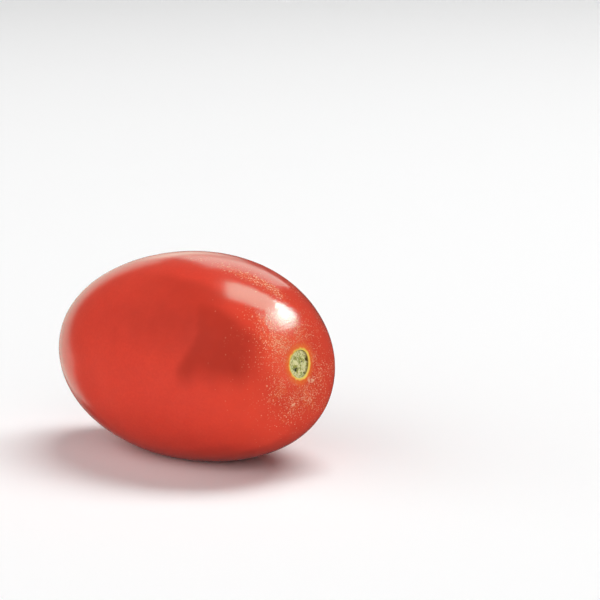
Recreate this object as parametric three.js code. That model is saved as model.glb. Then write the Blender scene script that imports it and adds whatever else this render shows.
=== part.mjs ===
// A ripe plum tomato, as picked and without its calyx, lying on its side.
//
// The fruit is one solid. Its skin is an oval about a long axis, fuller at the stem end and
// slimmer at the blossom end, with the slow swells of the seed chambers under it. The stem end
// is flattened, and off its middle lies the corky scar that the stalk came away from: a sunk
// disc with a groove round it, a raised knot where the vessels ran, and a few pits. The blossom
// end draws out to a low tip with a speck of cork. Underneath, the skin is pressed flat where
// the fruit rests.
//
// Units are millimetres. +X runs out of the stem end, +Z is up, and the origin is the middle of
// the resting spot, on the surface that the fruit lies on.

import * as THREE from "three";
import { mergeVertices } from "three/addons/utils/BufferGeometryUtils.js";

// The oval
const GIRTH_RADIUS = 25; // at the thickest place, the girth
const HALF_LENGTH = 40; // of the plain oval, before each end is blunted
const STEM_BLUNTNESS = 0.095; // 0 is an ellipse, and more makes a shorter, fuller end
const BLOSSOM_BLUNTNESS = 0.015;

// The lie of the long axis
const DROOP = 1.15; // both ends hang this far below a straight axis
const SWAY = 2.15; // the axis falls this far at the stem end, and rises as far at the other
const LEAN = THREE.MathUtils.degToRad(3.8); // the whole fruit lifts its stem end

// The seed chambers, as swells of the girth: how many, how high, and where one crest stands
const SWELLS = [
  { count: 2, height: 0.12, crest: 1.9 },
  { count: 3, height: 0.2, crest: 0.7 },
  { count: 5, height: 0.06, crest: 2.4 },
];

// The flattened stem end
const CAP_DEPTH = 3;
const CAP_RADIUS = 14;

// The stem scar, by its middle across the long axis, with its outline and its relief
const SCAR = { y: -1.4, z: 2.9, radius: 3.35, sunk: 0.24, edge: 0.45 };
const SCAR_OUTLINE = [
  { count: 2, share: 0.02, crest: -0.75 },
  { count: 3, share: 0.03, crest: 3.0 },
];
const DIMPLE = { depth: 0.4, radius: 9 }; // the skin dips towards the scar
const LIP = { height: 0.14, width: 0.35, out: 0.4 }; // the skin swells up again at its edge
const GROOVE = { depth: 0.2, width: 0.22, in: 0.3 }; // between the skin and the cork
const KNOT = { y: -0.75, z: 0.3, height: 0.38, radius: 0.95 }; // where the vessels ran
const MOAT = { depth: 0.22, width: 0.28 }; // round the knot
const PITS = [
  { y: 3.1, z: 0.5, depth: 0.4, radius: 0.5 },
  { y: 3.0, z: 1.3, depth: 0.2, radius: 0.35 },
  { y: -0.9, z: -1.4, depth: 0.35, radius: 0.42 },
  { y: -1.6, z: -1.15, depth: 0.2, radius: 0.3 },
  { y: -0.3, z: -1.1, depth: 0.2, radius: 0.28 },
  { y: -0.8, z: -2.0, depth: 0.15, radius: 0.3 },
  { y: 1.4, z: 0.15, depth: 0.3, radius: 0.32 },
  { y: 1.0, z: 0.9, depth: 0.15, radius: 0.28 },
  { y: -1.2, z: 1.0, depth: 0.2, radius: 0.3 },
  { y: 2.0, z: -2.6, depth: 0.25, radius: 0.32 },
  { y: 2.4, z: 1.95, depth: 0.2, radius: 0.3 },
  { y: 1.3, z: 2.8, depth: 0.2, radius: 0.32 },
];

// The blossom end
const TIP = { height: 0.9, radius: 3.6 };
const TIP_CORK = { height: 0.2, radius: 0.9 };

// The resting spot
const REST_ALONG = -2.6; // its middle, along the long axis from the girth
const REST_HEIGHT = 24.2; // the girth's middle stands this far above it
const REST_ROUNDING = 0.25; // the flat runs out into the skin over this height

// The facets: rings lie close together over the relief at each pole, then ever wider apart
const SIDES = 72;
const STEM_RINGS = { fineStep: 0.35, fineReach: 4.6, growth: 1.15, widestStep: 2.2 };
const BLOSSOM_RINGS = { fineStep: 0.6, fineReach: 1.5, growth: 1.12, widestStep: 2.2 };
const SCAR_CORE = 4.8; // rings run true to the scar up to this radius,
const SCAR_DRIFT = 18; // and come back to the long axis by this one

const bell = (distance, width) => Math.exp(-((distance / width) ** 2));

// Falls from 1 at 0 to 0 at 1, and is level at both ends
const fade = (share) => (share < 1 ? (1 - share ** 2) ** 2 : 0);

// Slow waves round a circle, where size names each wave's own measure
const waves = (list, size, angle) =>
  list.reduce((sum, wave) => sum + wave[size] * Math.cos(wave.count * (angle - wave.crest)), 0);

// Height of the skin over the flattened stem end, at a place across the scar
function scarRelief(y, z) {
  const distance = Math.hypot(y, z);
  const rim = SCAR.radius * (1 + waves(SCAR_OUTLINE, "share", Math.atan2(z, y)));
  const inside = 1 - THREE.MathUtils.smoothstep(distance, rim - SCAR.edge, rim);
  const fromKnot = Math.hypot(y - KNOT.y, z - KNOT.z);
  const pits = PITS.reduce(
    (sum, pit) => sum + pit.depth * bell(Math.hypot(y - pit.y, z - pit.z), pit.radius),
    0,
  );
  const cork =
    KNOT.height * bell(fromKnot ** 2, KNOT.radius ** 2) -
    MOAT.depth * bell(fromKnot - KNOT.radius - MOAT.width, MOAT.width) -
    GROOVE.depth * bell(distance - rim + GROOVE.in, GROOVE.width) -
    pits;
  return (
    inside * (cork - SCAR.sunk) +
    LIP.height * bell(distance - rim - LIP.out, LIP.width) -
    DIMPLE.depth * fade(distance / DIMPLE.radius)
  );
}

// How far the skin stands from the girth along the long axis, at a place across that axis
function skinAlong(y, z, atStem) {
  const fromAxis = Math.hypot(y, z);
  const share = Math.min(fromAxis / GIRTH_RADIUS, 1);
  const bluntness = atStem ? STEM_BLUNTNESS : BLOSSOM_BLUNTNESS;
  const fullness = (1 + bluntness * share ** 2) / (1 + bluntness);
  const oval = HALF_LENGTH * Math.sqrt(1 - share ** 2) * fullness;
  if (atStem) {
    return oval - CAP_DEPTH * fade(fromAxis / CAP_RADIUS) + scarRelief(y - SCAR.y, z - SCAR.z);
  }
  const tip = TIP.height * bell(fromAxis, TIP.radius);
  return -oval - tip - TIP_CORK.height * bell(fromAxis, TIP_CORK.radius);
}

// A height over the resting surface, pressed flat where the fruit would sink into it
function pressed(height) {
  if (height <= -REST_ROUNDING) return 0;
  if (height >= REST_ROUNDING) return height;
  return (height + REST_ROUNDING) ** 2 / (4 * REST_ROUNDING);
}

// The place on the skin of one corner of one ring
function skinPoint(ring, turn) {
  const ringRadius = GIRTH_RADIUS * Math.sin(ring.polarAngle);
  const pastCore = Math.max(ringRadius - SCAR_CORE, 0) / (SCAR_DRIFT - SCAR_CORE);
  const drift = ring.atStem ? fade(pastCore) : 0;
  const y = ringRadius * Math.cos(turn) + SCAR.y * drift;
  const z = ringRadius * Math.sin(turn) + SCAR.z * drift;
  const x = skinAlong(y, z, ring.atStem);

  const swell = waves(SWELLS, "height", Math.atan2(z, y)) * (Math.hypot(y, z) / GIRTH_RADIUS) ** 2;
  const wider = 1 + swell / GIRTH_RADIUS;
  const along = x / HALF_LENGTH;
  const sag = DROOP * along ** 2 + SWAY * along ** 3;

  const point = new THREE.Vector3(x, y * wider, z * wider - sag);
  point.applyAxisAngle(new THREE.Vector3(0, 1, 0), -LEAN);
  return point.set(point.x - REST_ALONG, point.y, pressed(point.z + REST_HEIGHT));
}

// Polar angles of one half's rings, from the pole up to the girth and without either
function polarAngles({ fineStep, fineReach, growth, widestStep }) {
  const quarter = (GIRTH_RADIUS * Math.PI) / 2;
  const angles = [];
  let step = fineStep;
  for (let reach = step; reach < quarter - step / 2; reach += step) {
    angles.push(reach / GIRTH_RADIUS);
    if (reach > fineReach) step = Math.min(step * growth, widestStep);
  }
  return angles;
}

// A sphere's grid of rings and sides, with each corner moved to its place on the skin
function fruitGeometry() {
  const rings = [
    ...[0, ...polarAngles(STEM_RINGS), Math.PI / 2].map((polarAngle) => ({ polarAngle, atStem: true })),
    ...[0, ...polarAngles(BLOSSOM_RINGS)].reverse().map((polarAngle) => ({ polarAngle, atStem: false })),
  ];
  const sphere = new THREE.SphereGeometry(1, SIDES, rings.length - 1);
  const { position } = sphere.attributes;
  for (let n = 0; n < position.count; n += 1) {
    const side = n % (SIDES + 1);
    const ring = rings[(n - side) / (SIDES + 1)];
    const { x, y, z } = skinPoint(ring, (2 * Math.PI * (side % SIDES)) / SIDES);
    position.setXYZ(n, x, y, z);
  }
  sphere.deleteAttribute("normal");
  sphere.deleteAttribute("uv");
  const skin = mergeVertices(sphere, 1e-4);
  skin.computeVertexNormals();
  return skin;
}

const skin = new THREE.MeshStandardMaterial({ color: 0xc9402c, roughness: 0.25, metalness: 0 });

const fruit = new THREE.Mesh(fruitGeometry(), skin);
fruit.name = "fruit";

const tomato = new THREE.Group();
tomato.add(fruit);

export default tomato;
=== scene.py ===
"""A ripe plum tomato lying on its side, on a pale studio floor.

The fruit is one finely meshed skin with its corky stem scar and blossom tip grown in one piece.
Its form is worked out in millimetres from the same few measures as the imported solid, which it
stands for, and a point's place is then turned to metres. +X runs out of the stem end, +Z is up,
and the origin is the middle of the resting spot.
"""

import math

import bmesh
import bpy
from mathutils import Matrix, Quaternion, Vector


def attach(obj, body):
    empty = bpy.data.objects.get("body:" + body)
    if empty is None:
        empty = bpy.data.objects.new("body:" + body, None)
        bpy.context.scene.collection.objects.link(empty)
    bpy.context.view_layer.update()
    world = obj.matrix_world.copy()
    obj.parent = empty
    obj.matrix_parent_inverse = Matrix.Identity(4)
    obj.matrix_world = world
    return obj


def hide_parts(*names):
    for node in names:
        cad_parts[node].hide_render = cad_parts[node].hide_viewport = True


MM = 0.001  # metres in a millimetre

# The form of the fruit, in millimetres

GIRTH_RADIUS = 25
HALF_LENGTH = 40  # of the plain oval, before each end is blunted
STEM_BLUNTNESS = 0.095  # 0 is an ellipse, and more makes a shorter, fuller end
BLOSSOM_BLUNTNESS = 0.015
DROOP = 1.15  # both ends hang this far below a straight axis
SWAY = 2.15  # the axis falls this far at the stem end, and rises as far at the other
LEAN = math.radians(3.8)  # the whole fruit lifts its stem end
SWELLS = ((2, 0.12, 1.9), (3, 0.2, 0.7), (5, 0.06, 2.4))  # how many, height, one crest's angle

CAP_DEPTH = 3  # of the flattened stem end
CAP_RADIUS = 14

SCAR_Y = -1.4  # the scar's middle, across the long axis
SCAR_Z = 2.9
SCAR_RADIUS = 3.35
SCAR_SUNK = 0.24
SCAR_EDGE = 0.45
SCAR_OUTLINE = ((2, 0.02, -0.75), (3, 0.03, 3.0))  # how many, share of the radius, one crest
DIMPLE_DEPTH = 0.4  # the skin dips towards the scar
DIMPLE_RADIUS = 9
LIP_HEIGHT = 0.14  # and swells up again at its edge
LIP_WIDTH = 0.35
LIP_OUT = 0.4
GROOVE_DEPTH = 0.2  # between the skin and the cork
GROOVE_WIDTH = 0.22
GROOVE_IN = 0.3
KNOT_Y = -0.75  # where the vessels ran, across the scar
KNOT_Z = 0.3
KNOT_HEIGHT = 0.38
KNOT_RADIUS = 0.95
MOAT_DEPTH = 0.22  # round the knot
MOAT_WIDTH = 0.28
PITS = (  # across, up, depth, radius
    (3.1, 0.5, 0.4, 0.5),
    (3.0, 1.3, 0.2, 0.35),
    (-0.9, -1.4, 0.35, 0.42),
    (-1.6, -1.15, 0.2, 0.3),
    (-0.3, -1.1, 0.2, 0.28),
    (-0.8, -2.0, 0.15, 0.3),
    (1.4, 0.15, 0.3, 0.32),
    (1.0, 0.9, 0.15, 0.28),
    (-1.2, 1.0, 0.2, 0.3),
    (2.0, -2.6, 0.25, 0.32),
    (2.4, 1.95, 0.2, 0.3),
    (1.3, 2.8, 0.2, 0.32),
)

TIP_HEIGHT = 0.9  # of the blossom end
TIP_RADIUS = 3.6
TIP_CORK_HEIGHT = 0.2
TIP_CORK_RADIUS = 0.9

REST_ALONG = -2.6  # the resting spot's middle, along the long axis from the girth
REST_HEIGHT = 24.2  # the girth's middle stands this far above it
REST_ROUNDING = 0.25  # the flat runs out into the skin over this height

# The marks of the skin, in millimetres and degrees

RUSSET = (  # where pores crowd together: across the scar, up, radius, strength
    (-4.9, 5.2, 2.2, 1.0),
    (-7.5, 6.3, 2.2, 0.8),
    (-9.5, 7.0, 2.4, 0.4),
    (-6.6, 10.3, 2.2, 0.7),
    (-8.3, 11.3, 2.2, 0.5),
    (-12.0, 5.0, 3.2, 0.1),
    (0.6, 6.5, 1.4, 0.6),
    (0.6, 9.1, 1.7, 0.5),
    (1.6, 14.8, 1.8, 0.9),
    (1.0, 16.4, 2.0, 1.0),
    (-1.0, 18.2, 2.2, 1.0),
    (-2.4, 19.6, 1.8, 0.7),
    (5.0, 0.6, 1.2, 0.9),
    (6.4, -4.0, 1.6, 0.5),
    (1.1, -5.8, 1.5, 0.6),
    (2.0, -8.9, 2.2, 0.6),
    (3.8, -10.7, 1.6, 0.4),
    (-2.9, -9.0, 1.7, 0.7),
    (-5.1, -11.6, 2.0, 0.5),
    (-7.4, -5.0, 1.7, 0.7),
    (-9.7, -6.6, 1.7, 0.5),
    (11.5, 8.0, 2.4, 0.7),
    (13.5, -2.5, 2.6, 0.6),
    (9.0, 14.0, 2.2, 0.7),
    (10.0, -12.0, 2.4, 0.6),
    (8.6, 3.0, 3.5, -0.6),
    (1.5, -4.2, 1.6, -0.5),
)
SCABS = (  # healed nicks: across, up, radius, strength
    (3.0, -4.2, 1.1, 1.3),
    (4.3, -4.7, 0.7, 1.1),
    (-3.6, 4.4, 0.8, 1.0),
    (-6.6, 2.3, 0.7, 1.0),
    (-3.6, -9.0, 0.5, 1.3),
    (-2.8, -8.9, 0.5, 1.2),
    (2.4, -9.0, 1.6, 0.85),
    (0.4, -10.9, 1.0, 0.85),
    (-10.7, -3.4, 0.4, 1.1),
    (-8.6, -5.4, 0.4, 1.0),
    (8.2, 5.0, 0.7, 0.9),
)
WARM_LIT_SPOT = (-3.5, 2.0, 0)  # across the scar and up, where the red is warmest, and brightest as painted light

# Dark patches on the flesh, and past them a band of painted shade. A place is given by its turn
# about the long axis, in degrees, and by its reach along the skin from the stem, in millimetres. A
# pair is where a patch starts to show and where it shows in full, or starts to fade and is gone.

DARK_PATCHES = ((0, 1.0), (112, 0.6), (-124, 0.7))  # turn of each dark patch and its band of painted shade, and how dark they are
PATCH_START = 22  # reach at which a patch starts to show
PATCH_STARTS_EARLIER = 11.5  # by this much past its corner
PATCH_CORNER = (124, 145)
PATCH_RISE = 10  # a patch shows in full after this much more reach
PATCH_TURNS = ((122, 138), (166, 190))
PATCH_TAIL = 8  # it lasts this many degrees longer
PATCH_TAIL_REACH = (26, 28)  # out here
PATCH_EDGE_WIDTH = (-0.4, 2.0)  # it fades over this much reach about its crisp edge
PATCH_EDGE = (  # turn and reach of that edge
    (124, 29.5),
    (136, 28.2),
    (144, 27.3),
    (152, 26.4),
    (158, 26.6),
    (164, 27.2),
    (170, 28.0),
    (176, 28.8),
    (190, 28.8),
)
PAINTED_SHADE_REACH = ((22, 29), (32, 50))  # a band of painted shade, less dark than the patch, goes on past the edge
PAINTED_SHADE_TURNS = ((116, 124), (146, 176))
PAINTED_SHADE_STRENGTH = 0.68

# The size of each pattern of the skin, in millimetres

SKIN_GRAIN = 0.6
SLOW_PATCHES = 18
RAGGED_EDGE = 4  # of the dark patches
PORE_SPACING = 0.38
DASH_SPACING = 0.42
RING_LOBES = 1.3  # of the yellow round the scar
CORK_FIBRES = 0.8
WRINKLE_SPACING = 0.45
PORE_HEIGHT = 0.03
WRINKLE_HEIGHT = 0.11
FIBRE_HEIGHT = 0.15

# The mesh of the fruit

SIDES = 288
STEM_RINGS = (0.09, 4.4, 1.05, 0.55)  # step by the pole, how far it holds, growth, widest step
BLOSSOM_RINGS = (0.15, 1.2, 1.05, 0.55)
SCAR_CORE = 4.8  # rings run true to the scar up to this radius,
SCAR_DRIFT = 18  # and come back to the long axis by this one
RAY_RADIUS = 16  # the streaks of the skin keep their width this far from the long axis
FAR = 9  # stands for far from the scar, on the blossom half

# The photograph's view, in metres where nothing else is said

PHOTO_WIDTH = 600  # pixels
FRUIT_IN_PHOTO = Vector((196.6, 354.4))  # pixel that shows the middle of the girth
CAMERA_AZIMUTH = math.radians(42.5)
CAMERA_ELEVATION = math.radians(12.8)
CAMERA_DISTANCE = 0.6
LENS = 150.2  # mm
SENSOR = 36  # mm
CLIP_END = 20  # past the far edge of the floor
FRUIT_MIDDLE = Vector((-REST_ALONG, 0, REST_HEIGHT)) * MM  # the middle of the girth

# The floor, in metres

FLOOR_SIZE = 8.0
FLOOR_GAP = 0.02 * MM  # under the resting spot, so that the two faces don't share a plane


def bell(distance, width):
    """Falls from 1 at 0 towards 0, and is a third at the width."""
    return math.exp(-((distance / width) ** 2))


def fade(share):
    """Falls from 1 at 0 to 0 at 1, and is level at both ends."""
    return (1 - share**2) ** 2 if share < 1 else 0


def waves(rows, angle):
    """Slow waves round a circle."""
    return sum(size * math.cos(count * (angle - crest)) for count, size, crest in rows)


def smoothstep(value, low, high):
    """Rises from 0 at the low value to 1 at the high one, and is level at both."""
    share = min(max((value - low) / (high - low), 0), 1)
    return share * share * (3 - 2 * share)


def rise_and_fall(value, rise, fall):
    """Rises from 0 to 1 over the first pair of values, and falls back over the second."""
    return smoothstep(value, *rise) * (1 - smoothstep(value, *fall))


def scar_rim(y, z):
    """The scar's radius in the direction of a place across it."""
    return SCAR_RADIUS * (1 + waves(SCAR_OUTLINE, math.atan2(z, y)))


def pits_at(y, z):
    """How deep the pits are at a place across the scar."""
    return sum(depth * bell(math.hypot(y - py, z - pz), radius) for py, pz, depth, radius in PITS)


def scar_relief(y, z):
    """Height of the skin over the flattened stem end, at a place across the scar."""
    distance = math.hypot(y, z)
    rim = scar_rim(y, z)
    inside = 1 - smoothstep(distance, rim - SCAR_EDGE, rim)
    from_knot = math.hypot(y - KNOT_Y, z - KNOT_Z)
    cork = (
        KNOT_HEIGHT * bell(from_knot**2, KNOT_RADIUS**2)
        - MOAT_DEPTH * bell(from_knot - KNOT_RADIUS - MOAT_WIDTH, MOAT_WIDTH)
        - GROOVE_DEPTH * bell(distance - rim + GROOVE_IN, GROOVE_WIDTH)
        - pits_at(y, z)
    )
    return (
        inside * (cork - SCAR_SUNK)
        + LIP_HEIGHT * bell(distance - rim - LIP_OUT, LIP_WIDTH)
        - DIMPLE_DEPTH * fade(distance / DIMPLE_RADIUS)
    )


def skin_along(y, z, at_stem):
    """How far the skin stands from the girth along the long axis, at a place across that axis."""
    from_axis = math.hypot(y, z)
    share = min(from_axis / GIRTH_RADIUS, 1)
    bluntness = STEM_BLUNTNESS if at_stem else BLOSSOM_BLUNTNESS
    fullness = (1 + bluntness * share**2) / (1 + bluntness)
    oval = HALF_LENGTH * math.sqrt(1 - share**2) * fullness
    if at_stem:
        cap = CAP_DEPTH * fade(from_axis / CAP_RADIUS)
        return oval - cap + scar_relief(y - SCAR_Y, z - SCAR_Z)
    tip = TIP_HEIGHT * bell(from_axis, TIP_RADIUS)
    return -oval - tip - TIP_CORK_HEIGHT * bell(from_axis, TIP_CORK_RADIUS)


def pressed(height):
    """A height over the resting surface, pressed flat where the fruit would sink into it."""
    if height <= -REST_ROUNDING:
        return 0
    if height >= REST_ROUNDING:
        return height
    return (height + REST_ROUNDING) ** 2 / (4 * REST_ROUNDING)


def place_across(polar_angle, turn, at_stem):
    """Where a ring's corner stands across the long axis.

    Near the stem, the rings run round the scar.
    """
    radius = GIRTH_RADIUS * math.sin(polar_angle)
    past_core = max(radius - SCAR_CORE, 0) / (SCAR_DRIFT - SCAR_CORE)
    drift = fade(past_core) if at_stem else 0
    return radius * math.cos(turn) + SCAR_Y * drift, radius * math.sin(turn) + SCAR_Z * drift


def skin_point(y, z, at_stem):
    """The skin's point at a place across the long axis, in the part's frame."""
    x = skin_along(y, z, at_stem)
    swell = waves(SWELLS, math.atan2(z, y)) * (math.hypot(y, z) / GIRTH_RADIUS) ** 2
    wider = 1 + swell / GIRTH_RADIUS
    along = x / HALF_LENGTH
    sag = DROOP * along**2 + SWAY * along**3
    point = Matrix.Rotation(-LEAN, 3, "Y") @ Vector((x, y * wider, z * wider - sag))
    return Vector((point.x - REST_ALONG, point.y, pressed(point.z + REST_HEIGHT)))


def polar_angles(fine_step, fine_reach, growth, widest_step):
    """Polar angles of one half's rings, from the pole up to the girth and without either."""
    quarter = GIRTH_RADIUS * math.pi / 2
    angles = []
    step = reach = fine_step
    while reach < quarter - step / 2:
        angles.append(reach / GIRTH_RADIUS)
        if reach > fine_reach:
            step = min(step * growth, widest_step)
        reach += step
    return angles


def crowd_at(y, z, spots):
    """How densely a mark covers a place across the scar."""
    return sum(much * bell(math.hypot(y - py, z - pz), radius) for py, pz, radius, much in spots)


def patch_edge_reach(turn):
    """How far out the crisp edge of a dark patch stands, at a turn in degrees."""
    turn = min(max(turn, PATCH_EDGE[0][0]), PATCH_EDGE[-1][0])
    for (start, near), (end, far) in zip(PATCH_EDGE, PATCH_EDGE[1:]):
        if turn <= end:
            return near + (far - near) * (turn - start) / (end - start)
    return PATCH_EDGE[-1][1]


def patch_and_painted_shade(out, turn):
    """Dark patches on the flesh, and a band of painted shade past them, from the stem out to the
    girth.
    """
    shade = 0
    for offset, strength in DARK_PATCHES:
        here = (turn - offset) % 360
        reach = patch_edge_reach(here)
        near = PATCH_START - PATCH_STARTS_EARLIER * smoothstep(here, *PATCH_CORNER)
        edge = [reach + width for width in PATCH_EDGE_WIDTH]
        tail = PATCH_TAIL * smoothstep(out, *PATCH_TAIL_REACH)
        appears, (fades, gone) = PATCH_TURNS
        dark_patch = rise_and_fall(out, (near, near + PATCH_RISE), edge)
        dark_patch *= rise_and_fall(here, appears, (fades + tail, gone))
        # A band of painted shade goes on past the dark patch
        painted_shade = rise_and_fall(out, *PAINTED_SHADE_REACH) * rise_and_fall(here, *PAINTED_SHADE_TURNS)
        shade = max(shade, strength * dark_patch, PAINTED_SHADE_STRENGTH * strength * painted_shade)
    return shade


def make_fruit():
    """A sphere's rings and sides, with each corner moved to its place on the skin.

    Each corner also keeps what the skin's pattern follows: its place across the scar, how much
    cork is there, and how far along the streaks that run out from the stem it lies.
    """
    stem = [(angle, True) for angle in [0, *polar_angles(*STEM_RINGS), math.pi / 2]]
    blossom = [(angle, False) for angle in [0, *polar_angles(*BLOSSOM_RINGS)]]
    rings = stem + blossom[::-1]

    shape = bmesh.new()
    from_scar = shape.verts.layers.float_vector.new("from_scar")
    streaks = shape.verts.layers.float_vector.new("streaks")
    cork = shape.verts.layers.float_vector.new("cork")
    marks_and_shade = shape.verts.layers.float_vector.new("marks_and_shade")
    bmesh.ops.create_uvsphere(shape, u_segments=SIDES, v_segments=len(rings) - 1, radius=1)
    for corner in shape.verts:
        # The plain sphere's angles tell which ring and side the corner belongs to
        down = math.atan2(math.hypot(corner.co.x, corner.co.y), corner.co.z)
        angle, at_stem = rings[round(down / math.pi * (len(rings) - 1))]
        turn = math.atan2(corner.co.y, corner.co.x)
        y, z = place_across(angle, turn, at_stem)
        corner.co = skin_point(y, z, at_stem) * MM

        # What the pattern follows
        across = Vector((y - SCAR_Y, z - SCAR_Z))
        out = GIRTH_RADIUS * (angle if at_stem else math.pi - angle)
        tip_cork = 0 if at_stem else bell(GIRTH_RADIUS * math.sin(angle), TIP_CORK_RADIUS)
        rim_share = across.length / scar_rim(*across) if at_stem else FAR
        corner[from_scar] = (across.x, across.y, 0 if at_stem else FAR)
        corner[streaks] = (RAY_RADIUS * math.cos(turn), RAY_RADIUS * math.sin(turn), out)
        corner[cork] = (rim_share, pits_at(*across) if at_stem else 0, tip_cork)
        # How dark the flesh is painted here: dark patches, and painted shade past them
        shade = patch_and_painted_shade(out, math.degrees(turn))
        crowds = [crowd_at(*across, spots) if at_stem else 0 for spots in (RUSSET, SCABS)]
        corner[marks_and_shade] = (*crowds, shade)
    for face in shape.faces:
        face.smooth = True
    mesh = bpy.data.meshes.new("tomato_skin")
    shape.to_mesh(mesh)
    shape.free()
    fruit = bpy.data.objects.new("tomato_skin", mesh)
    bpy.context.scene.collection.objects.link(fruit)
    return fruit


def srgb(code):
    """A colour of the form #rrggbb, as the linear values that shaders and lights take."""
    shares = [int(code[n : n + 2], 16) / 255 for n in (1, 3, 5)]
    return [s / 12.92 if s <= 0.04045 else ((s + 0.055) / 1.055) ** 2.4 for s in shares] + [1]


def add_node(tree, kind, inputs=None, **settings):
    """Adds a node, gives it its settings, and fills or links its inputs by name or number."""
    node = tree.nodes.new(kind)
    for name, value in settings.items():
        setattr(node, name, value)
    for key, value in (inputs or {}).items():
        if isinstance(value, bpy.types.NodeSocket):
            tree.links.new(value, node.inputs[key])
        else:
            node.inputs[key].default_value = value
    return node


FACTOR, FIRST, SECOND = 0, 6, 7  # a colour mix's inputs
MIXED = 2  # and its output


def flesh_colour(tree, place, from_scar, out, shade, grain):
    """The red of the flesh, in slow patches with a faint fine grain."""
    patches = add_node(
        tree, "ShaderNodeTexNoise",
        {"Vector": place, "Scale": 1 / (SLOW_PATCHES * MM), "Detail": 2.0},
    )
    patches = add_node(
        tree, "ShaderNodeMath", {0: grain, 1: 1.3, 2: patches.outputs[0]}, operation="MULTIPLY_ADD"
    ).outputs[0]
    patches = add_node(
        tree, "ShaderNodeMapRange", {"Value": patches, "From Min": 0.85, "From Max": 1.45}
    ).outputs[0]
    colour = add_node(
        tree, "ShaderNodeMix",
        {FACTOR: patches, FIRST: srgb("#e04633"), SECOND: srgb("#d94130")},
        data_type="RGBA",
    ).outputs[MIXED]

    # It is a warmer red towards the stem, and brighter there as painted light, most of all on the
    # scar's near side
    from_warm_lit_spot = add_node(
        tree, "ShaderNodeVectorMath", {0: from_scar, 1: WARM_LIT_SPOT}, operation="DISTANCE"
    ).outputs["Value"]
    for reach, far, near, much, code in (
        (out, 32.0, 10.0, 1.0, "#e54b36"),
        (from_warm_lit_spot, 9.5, 3.0, 0.8, "#ff6045"),
    ):
        warm_and_lit = add_node(
            tree, "ShaderNodeMapRange",
            {"Value": reach, "From Min": far, "From Max": near, "To Max": much},
            interpolation_type="SMOOTHSTEP",
        ).outputs[0]
        colour = add_node(
            tree, "ShaderNodeMix",
            {FACTOR: warm_and_lit, FIRST: colour, SECOND: srgb(code)},
            data_type="RGBA",
        ).outputs[MIXED]

    # Darker patches with a ragged edge, and a band of painted shade past them
    ragged = add_node(
        tree, "ShaderNodeTexNoise",
        {"Vector": place, "Scale": 1 / (RAGGED_EDGE * MM), "Detail": 3.0},
    )
    patches_and_shade = add_node(
        tree, "ShaderNodeMath", {0: ragged.outputs[0], 1: 0.5, 2: shade}, operation="MULTIPLY_ADD"
    ).outputs[0]
    patches_and_shade = add_node(
        tree, "ShaderNodeMapRange", {"Value": patches_and_shade, "From Min": 0.25, "From Max": 1.25}
    ).outputs[0]
    colour = add_node(
        tree, "ShaderNodeMix",
        {FACTOR: patches_and_shade, FIRST: colour, SECOND: srgb("#bd3828")},
        data_type="RGBA",
    ).outputs[MIXED]
    return colour


def pore_crowding(tree, out, russet):
    """How thickly the pores stand: they crowd round the stem, and in clumps of russet."""
    near_stem = add_node(
        tree, "ShaderNodeMapRange", {"Value": out, "From Min": 28.0, "From Max": 8.0}
    ).outputs[0]
    few = add_node(tree, "ShaderNodeMath", {0: near_stem, 1: 3.0}, operation="POWER").outputs[0]
    few = add_node(tree, "ShaderNodeMath", {0: few, 1: 0.5}, operation="MULTIPLY").outputs[0]
    crowd = add_node(
        tree, "ShaderNodeMath", {0: russet, 1: 0.6, 2: few}, operation="MULTIPLY_ADD"
    ).outputs[0]
    return crowd


def pore_pattern(tree, place, streaks, out, russet, crowd):
    """The pores: pale dots, and short dashes that lie round the stem.

    The finest ones are a tenth of a millimetre and would not show, so all are drawn about twice
    that wide. They are palest by the stem and in russet.
    """
    plain = add_node(
        tree, "ShaderNodeMapRange",
        {"Value": out, "From Min": 9.0, "From Max": 17.0, "To Min": 1.25, "To Max": 0.25},
    ).outputs[0]
    lively = add_node(
        tree, "ShaderNodeMath", {0: russet, 1: 0.7, 2: plain}, operation="MULTIPLY_ADD"
    ).outputs[0]
    round_stem = add_node(
        tree, "ShaderNodeMapping", {"Vector": streaks, "Scale": (0.7, 0.7, 1.0)}
    ).outputs[0]

    # Dots on round cells, and dashes on cells drawn out round the stem
    pores = []
    for across, size in ((place, PORE_SPACING * MM), (round_stem, DASH_SPACING)):
        cells = add_node(tree, "ShaderNodeTexVoronoi", {"Vector": across, "Scale": 1 / size})
        dots = add_node(
            tree, "ShaderNodeMapRange",
            {"Value": cells.outputs["Distance"], "From Min": 0.42, "From Max": 0.16},
            interpolation_type="SMOOTHSTEP",
        ).outputs[0]

        # Each cell draws twice: whether it shows a pore, and how pale that is
        draw = add_node(tree, "ShaderNodeSeparateColor", {0: cells.outputs["Color"]}).outputs
        chosen = add_node(
            tree, "ShaderNodeMath", {0: crowd, 1: draw[0]}, operation="GREATER_THAN"
        ).outputs[0]
        paler = add_node(
            tree, "ShaderNodeMath", {0: draw[1], 1: 2.0}, operation="POWER"
        ).outputs[0]
        paler = add_node(
            tree, "ShaderNodeMapRange", {"Value": paler, "To Min": 0.22, "To Max": 1.0}
        ).outputs[0]
        for share in (lively, paler, chosen):
            dots = add_node(
                tree, "ShaderNodeMath", {0: dots, 1: share}, operation="MULTIPLY"
            ).outputs[0]
        pores.append(dots)
    pores = add_node(
        tree, "ShaderNodeMath", {0: pores[0], 1: pores[1]}, operation="MAXIMUM", use_clamp=True
    ).outputs[0]
    return pores


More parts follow.
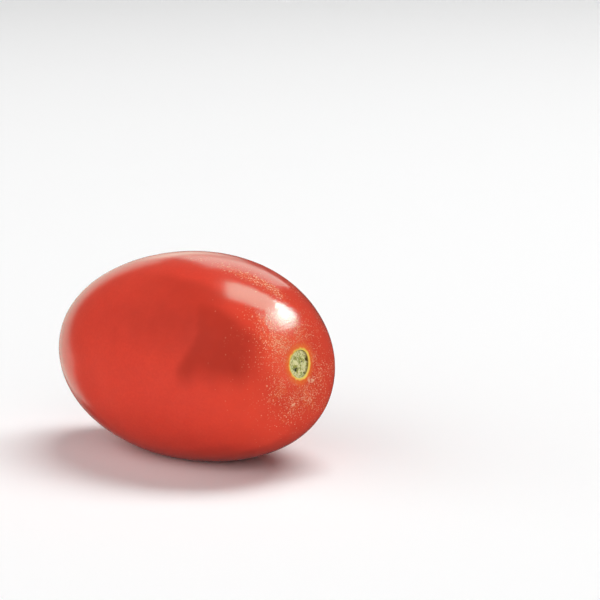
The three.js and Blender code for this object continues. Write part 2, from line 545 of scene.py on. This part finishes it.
def scar_colour(tree, from_scar, rim_share, pits, fibres):
    """The cork of the scar, cream with green streaks."""
    to_right = add_node(tree, "ShaderNodeSeparateXYZ", {0: from_scar}).outputs[0]
    spread = add_node(
        tree, "ShaderNodeMapRange", {"Value": fibres, "From Min": 0.4, "From Max": 0.55}
    ).outputs[0]
    bark = add_node(
        tree, "ShaderNodeMix",
        {FACTOR: spread, FIRST: srgb("#a5a549"), SECOND: srgb("#efe8b0")},
        data_type="RGBA",
    ).outputs[MIXED]

    # The knot stands pale in an olive moat
    from_knot = add_node(
        tree, "ShaderNodeVectorMath", {0: from_scar, 1: (KNOT_Y, KNOT_Z, 0)}, operation="DISTANCE"
    ).outputs["Value"]
    moat = add_node(
        tree, "ShaderNodeMath", {0: from_knot, 1: KNOT_RADIUS + MOAT_WIDTH}, operation="SUBTRACT"
    ).outputs[0]
    moat = add_node(tree, "ShaderNodeMath", {0: moat}, operation="ABSOLUTE").outputs[0]
    moat = add_node(
        tree, "ShaderNodeMath", {0: fibres, 1: 0.9, 2: moat}, operation="MULTIPLY_ADD"
    ).outputs[0]
    moat = add_node(
        tree, "ShaderNodeMapRange",
        {"Value": moat, "From Min": 0.72, "From Max": 0.42, "To Max": 0.75},
    ).outputs[0]
    bark = add_node(
        tree, "ShaderNodeMix",
        {FACTOR: moat, FIRST: bark, SECOND: srgb("#8f8f36")},
        data_type="RGBA",
    ).outputs[MIXED]

    # Pits go nearly black, and the groove goes brown, darker on its right as painted shade
    deep = add_node(
        tree, "ShaderNodeMath", {0: fibres, 1: -0.4, 2: pits}, operation="MULTIPLY_ADD"
    ).outputs[0]
    deep = add_node(
        tree, "ShaderNodeMapRange",
        {"Value": deep, "From Min": -0.1, "From Max": 0.06},
        interpolation_type="SMOOTHSTEP",
    ).outputs[0]
    bark = add_node(
        tree, "ShaderNodeMix",
        {FACTOR: deep, FIRST: bark, SECOND: srgb("#3d3604")},
        data_type="RGBA",
    ).outputs[MIXED]
    groove = add_node(
        tree, "ShaderNodeMapRange",
        {"Value": rim_share, "From Min": 0.88, "From Max": 0.96},
        interpolation_type="SMOOTHSTEP",
    ).outputs[0]
    # Painted shade: the groove is darker towards its right
    painted_shade_right = add_node(
        tree, "ShaderNodeMapRange",
        {"Value": to_right, "From Min": -1.0, "From Max": 2.5, "To Min": 0.25, "To Max": 0.8},
    ).outputs[0]
    groove = add_node(tree, "ShaderNodeMath", {0: groove, 1: painted_shade_right}, operation="MULTIPLY").outputs[0]
    bark = add_node(
        tree, "ShaderNodeMix",
        {FACTOR: groove, FIRST: bark, SECOND: srgb("#6b4f1c")},
        data_type="RGBA",
    ).outputs[MIXED]
    return bark


def finest_relief(tree, streaks, out, pores, fibres, on_cork):
    """Pores that stand a little proud, fine wrinkles between them, and the fibres of the cork."""
    # The wrinkles lie round the stem, and the skin is taut from the shoulder on
    drawn_round = add_node(
        tree, "ShaderNodeMapping", {"Vector": streaks, "Scale": (0.25, 0.25, 1.0)}
    ).outputs[0]
    ripple = add_node(
        tree, "ShaderNodeTexNoise",
        {"Vector": drawn_round, "Scale": 1 / WRINKLE_SPACING, "Detail": 2.0},
    )
    wrinkled = add_node(
        tree, "ShaderNodeMapRange",
        {"Value": out, "From Min": 12.0, "From Max": 24.0, "To Min": 1.0, "To Max": 0.03},
    ).outputs[0]
    bump = add_node(
        tree, "ShaderNodeBump",
        {"Height": ripple.outputs[0], "Distance": WRINKLE_HEIGHT * MM, "Strength": wrinkled},
    ).outputs[0]
    bump = add_node(
        tree, "ShaderNodeBump",
        {"Height": pores, "Distance": PORE_HEIGHT * MM, "Strength": 1.0, "Normal": bump},
    ).outputs[0]
    bump = add_node(
        tree, "ShaderNodeBump",
        {"Height": fibres, "Distance": FIBRE_HEIGHT * MM, "Strength": on_cork, "Normal": bump},
    ).outputs[0]
    return bump


def tomato_cuticle():
    """The ripe skin of a plum tomato: clear smooth wax over flesh coloured by lycopene.

    The wax gives clean soft-edged reflections, and light that enters the flesh comes out deeper
    red a little way off, so the shading is soft and the colour strong.
    """
    material = bpy.data.materials.new("tomato_cuticle")
    material.use_nodes = True
    tree = material.node_tree
    tree.nodes.clear()

    place = add_node(tree, "ShaderNodeTexCoord").outputs["Object"]
    from_scar = add_node(tree, "ShaderNodeAttribute", attribute_name="from_scar").outputs["Vector"]
    streaks = add_node(tree, "ShaderNodeAttribute", attribute_name="streaks").outputs["Vector"]
    cork = add_node(tree, "ShaderNodeAttribute", attribute_name="cork").outputs["Vector"]
    marks_and_shade = add_node(tree, "ShaderNodeAttribute", attribute_name="marks_and_shade").outputs["Vector"]
    out = add_node(tree, "ShaderNodeSeparateXYZ", {0: streaks}).outputs[2]
    rim_share, pits, tip_cork = add_node(tree, "ShaderNodeSeparateXYZ", {0: cork}).outputs
    russet, scab, shade = add_node(tree, "ShaderNodeSeparateXYZ", {0: marks_and_shade}).outputs

    # The grain of the skin and the fibres of the cork, which colour and relief share
    grain = add_node(
        tree, "ShaderNodeTexNoise", {"Vector": place, "Scale": 1 / (SKIN_GRAIN * MM), "Detail": 3.0}
    ).outputs[0]
    fibres = add_node(
        tree, "ShaderNodeTexNoise",
        {"Vector": from_scar, "Scale": 1 / CORK_FIBRES, "Detail": 5.0, "Distortion": 0.8},
    ).outputs[0]

    colour = flesh_colour(tree, place, from_scar, out, shade, grain)
    crowd = pore_crowding(tree, out, russet)
    pores = pore_pattern(tree, place, streaks, out, russet, crowd)

    # Between the pores lies an orange bloom of fine grain
    bloom = add_node(
        tree, "ShaderNodeMath", {0: crowd, 1: 0.42, 2: grain}, operation="MULTIPLY_ADD"
    ).outputs[0]
    bloom = add_node(
        tree, "ShaderNodeMapRange",
        {"Value": bloom, "From Min": 0.7, "From Max": 0.92, "To Max": 0.34},
    ).outputs[0]
    colour = add_node(
        tree, "ShaderNodeMix",
        {FACTOR: bloom, FIRST: colour, SECOND: srgb("#f97f4c")},
        data_type="RGBA",
    ).outputs[MIXED]

    # The pores are a pale tan
    colour = add_node(
        tree, "ShaderNodeMix",
        {FACTOR: pores, FIRST: colour, SECOND: srgb("#ffc89c")},
        data_type="RGBA",
    ).outputs[MIXED]

    # Healed nicks are pale and dry
    nick = add_node(tree, "ShaderNodeMath", {0: grain, 1: scab}, operation="MULTIPLY").outputs[0]
    nick = add_node(
        tree, "ShaderNodeMapRange",
        {"Value": nick, "From Min": 0.4, "From Max": 0.65, "To Max": 0.8},
    ).outputs[0]
    colour = add_node(
        tree, "ShaderNodeMix",
        {FACTOR: nick, FIRST: colour, SECOND: srgb("#f0bd92")},
        data_type="RGBA",
    ).outputs[MIXED]

    # Round the scar the flesh stays yellow, and fades through orange
    uneven = add_node(
        tree, "ShaderNodeTexNoise", {"Vector": from_scar, "Scale": 1 / RING_LOBES, "Detail": 1.5}
    )
    glow = add_node(
        tree, "ShaderNodeMath",
        {0: uneven.outputs[0], 1: -0.3, 2: rim_share},
        operation="MULTIPLY_ADD",
    ).outputs[0]
    for start, end, much, code in ((1.55, 0.95, 0.85, "#fb7d3a"), (1.06, 0.9, 0.95, "#ffdf66")):
        near = add_node(
            tree, "ShaderNodeMapRange",
            {"Value": glow, "From Min": start, "From Max": end, "To Max": much},
            interpolation_type="SMOOTHSTEP",
        ).outputs[0]
        colour = add_node(
            tree, "ShaderNodeMix",
            {FACTOR: near, FIRST: colour, SECOND: srgb(code)},
            data_type="RGBA",
        ).outputs[MIXED]

    # The cork covers the scar up to its rim
    bark = scar_colour(tree, from_scar, rim_share, pits, fibres)
    on_cork = add_node(
        tree, "ShaderNodeMapRange",
        {"Value": rim_share, "From Min": 1.02, "From Max": 0.96},
        interpolation_type="SMOOTHSTEP",
    ).outputs[0]
    colour = add_node(
        tree, "ShaderNodeMix",
        {FACTOR: on_cork, FIRST: colour, SECOND: bark},
        data_type="RGBA",
    ).outputs[MIXED]

    # The speck of cork on the blossom tip
    colour = add_node(
        tree, "ShaderNodeMix",
        {FACTOR: tip_cork, FIRST: colour, SECOND: srgb("#7a4a26")},
        data_type="RGBA",
    ).outputs[MIXED]

    # Wax is smooth, most of all where the stem end is rubbed, and cork and dry skin are matte
    waxed = add_node(
        tree, "ShaderNodeMapRange",
        {"Value": out, "From Min": 16.0, "From Max": 28.0, "To Min": 0.08, "To Max": 0.2},
    ).outputs[0]
    dry = add_node(tree, "ShaderNodeMath", {0: on_cork, 1: nick}, operation="MAXIMUM").outputs[0]
    roughness = add_node(
        tree, "ShaderNodeMapRange",
        {"Value": dry, "To Min": waxed, "To Max": 0.95},
    ).outputs[0]

    bump = finest_relief(tree, streaks, out, pores, fibres, on_cork)
    skin = add_node(
        tree, "ShaderNodeBsdfPrincipled",
        {
            "Base Color": colour,
            "Roughness": roughness,
            "Normal": bump,
            "IOR": 1.45,
            "Subsurface Weight": 0.25,
            "Subsurface Radius": (1.0, 0.2, 0.1),
            "Subsurface Scale": 2.5 * MM,
        },
    )
    add_node(tree, "ShaderNodeOutputMaterial", {"Surface": skin.outputs[0]})
    return material


def matte_card(name, colour):
    """Plain painted card: no gloss, so a floor of it shows only the light and the shadow on it."""
    material = bpy.data.materials.new(name)
    material.use_nodes = True
    card = material.node_tree.nodes["Principled BSDF"]
    card.inputs["Base Color"].default_value = srgb(colour)
    card.inputs["Roughness"].default_value = 0.9
    card.inputs["Specular IOR Level"].default_value = 0.0
    return material


def make_floor():
    """A pale floor under the resting spot."""
    shape = bmesh.new()
    bmesh.ops.create_grid(shape, x_segments=1, y_segments=1, size=FLOOR_SIZE / 2)
    bmesh.ops.translate(shape, verts=shape.verts, vec=(0, 0, -FLOOR_GAP))
    mesh = bpy.data.meshes.new("floor")
    shape.to_mesh(mesh)
    shape.free()
    mesh.materials.append(matte_card("white_card", "#fbfbfb"))
    floor = bpy.data.objects.new("floor", mesh)
    bpy.context.scene.collection.objects.link(floor)
    floor.visible_glossy = False  # the wax shows the panels alone, as in the photograph


def direction(azimuth, elevation):
    """Unit vector from the fruit: azimuth 0 is to the front, -Y, and grows towards +X."""
    level = math.cos(elevation)
    return Vector((math.sin(azimuth) * level, -math.cos(azimuth) * level, math.sin(elevation)))


def make_camera():
    """Looks from the photograph's angle. It is aimed beside the fruit, as in the photograph."""
    back = direction(CAMERA_AZIMUTH, CAMERA_ELEVATION)
    right = Vector((math.cos(CAMERA_AZIMUTH), math.sin(CAMERA_AZIMUTH), 0))
    up = back.cross(right)
    pixel = CAMERA_DISTANCE * SENSOR / LENS / PHOTO_WIDTH  # its size at the fruit
    off = (Vector((PHOTO_WIDTH / 2, PHOTO_WIDTH / 2)) - FRUIT_IN_PHOTO) * pixel
    aim = FRUIT_MIDDLE + right * off.x - up * off.y

    data = bpy.data.cameras.new("camera")
    data.lens = LENS
    data.sensor_width = SENSOR
    data.clip_end = CLIP_END
    camera = bpy.data.objects.new("camera", data)
    camera.location = FRUIT_MIDDLE + back * CAMERA_DISTANCE
    camera.rotation_euler = (aim - camera.location).to_track_quat("-Z", "Y").to_euler()
    bpy.context.scene.collection.objects.link(camera)
    bpy.context.scene.camera = camera


def make_panel(name, azimuth, elevation, distance, width, height, brightness, roll, colour):
    """A soft light panel that faces the fruit. Brightness 1 looks as bright as white paper.

    Angles are in degrees, and roll turns the panel in its own plane.
    """
    data = bpy.data.lights.new(name, "AREA")
    data.shape = "RECTANGLE"
    data.size = width
    data.size_y = height
    data.color = srgb(colour)[:3]
    data.energy = brightness * math.pi * width * height
    panel = bpy.data.objects.new(name, data)
    towards = direction(math.radians(azimuth), math.radians(elevation))
    panel.location = FRUIT_MIDDLE + towards * distance
    facing = towards.to_track_quat("Z", "Y") @ Quaternion((0, 0, 1), math.radians(roll))
    panel.rotation_euler = facing.to_euler()
    panel.visible_camera = False
    bpy.context.scene.collection.objects.link(panel)
    return panel


# Each panel's name, azimuth, elevation, distance, width, height, brightness, roll and colour

LAMPS = (  # these light the flesh
    ("overhead", 162, 66, 2.5, 2.0, 1.1, 7.0, 50, "#ffffff"),
    ("left_fill", -38, 30, 3.0, 4.4, 3.0, 1.06, 0, "#ffffff"),
    ("right_fill", 38, 26, 3.0, 4.0, 3.0, 1.22, 0, "#ffffff"),
)
PANES = (  # these shine in the wax, a little green, so that pane and red flesh add up to beige
    ("skylight", 157.5, 66.4, 2.5, 2.0, 1.1, 7.0, 55, "#a8ffec"),
    ("backdrop", -113, -3, 3.5, 3.7, 1.75, 0.9, -45, "#deffee"),
    ("backdrop_foot", -120, -20, 3.5, 1.2, 0.7, 0.3, 0, "#deffee"),
    ("backdrop_top", -137, 13, 3.5, 0.9, 0.7, 0.8, 20, "#deffee"),
    ("backdrop_wing", -148.5, 31, 3.5, 1.8, 1.5, 2.0, 14, "#d2fff2"),
    ("window", 142.5, 42.9, 3.0, 1.5, 1.15, 26, 2, "#b4fff4"),
    ("window_side", 113, 52.5, 3.0, 0.75, 0.75, 11, 0, "#b0ffec"),
)
SURROUND = 0.07  # brightness of the room between the panels


def light_the_studio():
    """Lamps that the wax doesn't show, panes that light nothing, and a dim room round them."""
    for lamp in LAMPS:
        make_panel(*lamp).visible_glossy = False
    for pane in PANES:
        make_panel(*pane).visible_diffuse = False
    world = bpy.data.worlds.new("studio")
    world.use_nodes = True
    surround = world.node_tree.nodes["Background"]
    surround.inputs["Color"].default_value = srgb("#ffffff")
    surround.inputs["Strength"].default_value = SURROUND
    bpy.context.scene.world = world


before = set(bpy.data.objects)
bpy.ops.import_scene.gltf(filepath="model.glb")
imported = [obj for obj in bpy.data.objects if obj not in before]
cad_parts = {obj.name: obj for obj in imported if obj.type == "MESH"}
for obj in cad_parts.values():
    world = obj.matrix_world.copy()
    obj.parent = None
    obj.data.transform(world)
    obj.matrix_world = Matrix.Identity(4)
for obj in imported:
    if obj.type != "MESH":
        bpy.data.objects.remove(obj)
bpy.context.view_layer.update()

fruit = make_fruit()
fruit.data.materials.append(tomato_cuticle())
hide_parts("fruit")
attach(fruit, "root")

make_floor()
make_camera()
light_the_studio()
bpy.context.scene.view_settings.view_transform = "Standard"
bpy.context.scene.view_settings.look = "None"
